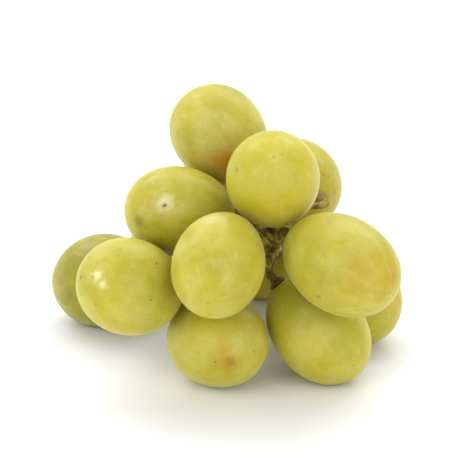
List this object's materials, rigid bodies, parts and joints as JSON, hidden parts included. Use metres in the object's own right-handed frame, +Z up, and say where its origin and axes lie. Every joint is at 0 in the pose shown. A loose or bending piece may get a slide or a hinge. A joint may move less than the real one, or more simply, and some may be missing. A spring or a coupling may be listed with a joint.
{
  "type": "bunch of grapes",
  "caption": "Small loose bunch of oval white table grapes on their branching green-brown stem, lying on a flat surface.",
  "frame": {"origin": "middle of the bunch's footprint, on the surface that it lies on", "axes": "+Z up, +Y away from the bunch's front, towards the cut end of its stalk, +X to the right as seen from the front"},
  "size_m": [0.0878, 0.0912, 0.0643],
  "materials": {
    "grape_skin": "thin yellow-green grape skin, softly glossy under a pale bloom, with fine specks",
    "stem_bark": "matte olive to dark brown stem, ribbed and speckled"
  },
  "bodies": {
    "root": {"grape_top_back": "grape_skin", "grape_top_front": "grape_skin", "grape_top_right": "grape_skin", "grape_left_upper": "grape_skin", "grape_left_end": "grape_skin", "grape_left_front": "grape_skin", "grape_centre_front": "grape_skin", "grape_bottom_front": "grape_skin", "grape_right_front": "grape_skin", "grape_right_back": "grape_skin", "grape_right_foot": "grape_skin", "grape_core": "grape_skin", "grape_back_foot": "grape_skin", "grape_back_upper": "grape_skin", "grape_back_left": "grape_skin", "stem": "stem_bark"}
  },
  "joints": []
}
